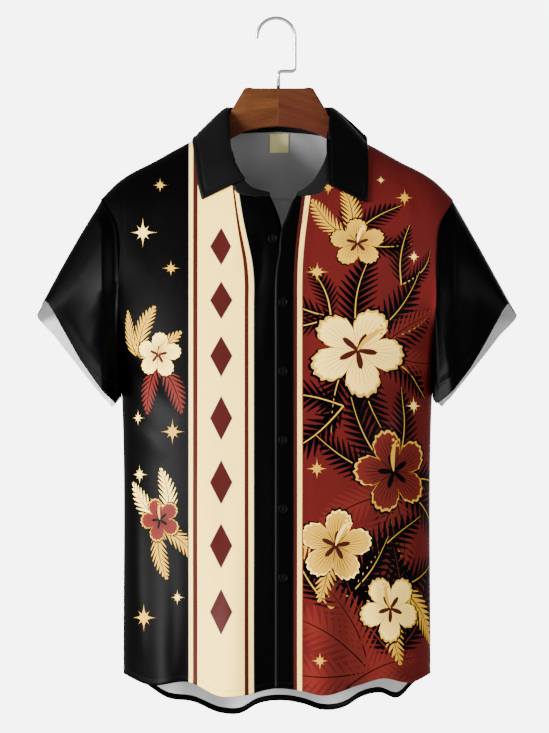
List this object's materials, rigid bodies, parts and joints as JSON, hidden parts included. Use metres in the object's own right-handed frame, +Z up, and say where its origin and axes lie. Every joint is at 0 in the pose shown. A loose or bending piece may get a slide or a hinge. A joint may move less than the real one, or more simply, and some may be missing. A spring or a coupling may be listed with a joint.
{
  "type": "hawaiian shirt on a wooden hanger",
  "caption": "Short-sleeved button-front shirt with a folded collar and printed front panels, hung on a wooden hanger with a wire hook.",
  "frame": {"origin": "inner crown of the hook, where a rail bears", "axes": "+Z up, +X to the right of a viewer who faces the front, the front faces -Y"},
  "size_m": [0.6134, 0.2029, 0.905],
  "materials": {
    "black_cloth": "woven, soft satin sheen",
    "red_cloth": "woven, printed, soft satin sheen",
    "cream_cloth": "woven label",
    "button_black": "gloss",
    "mahogany": "lacquered",
    "steel": "bright wire"
  },
  "bodies": {
    "root": {"front_left": "red_cloth", "front_right": "black_cloth", "back_yoke": "black_cloth", "back_panel": "black_cloth", "sleeve_left": "black_cloth", "sleeve_right": "black_cloth", "collar_stand": "black_cloth", "collar_leaf": "black_cloth", "button_1": "button_black", "button_2": "button_black", "button_3": "button_black", "button_4": "button_black", "button_5": "button_black", "button_6": "button_black", "neck_label": "cream_cloth", "hanger_wood": "mahogany", "hanger_hook": "steel"}
  },
  "joints": []
}
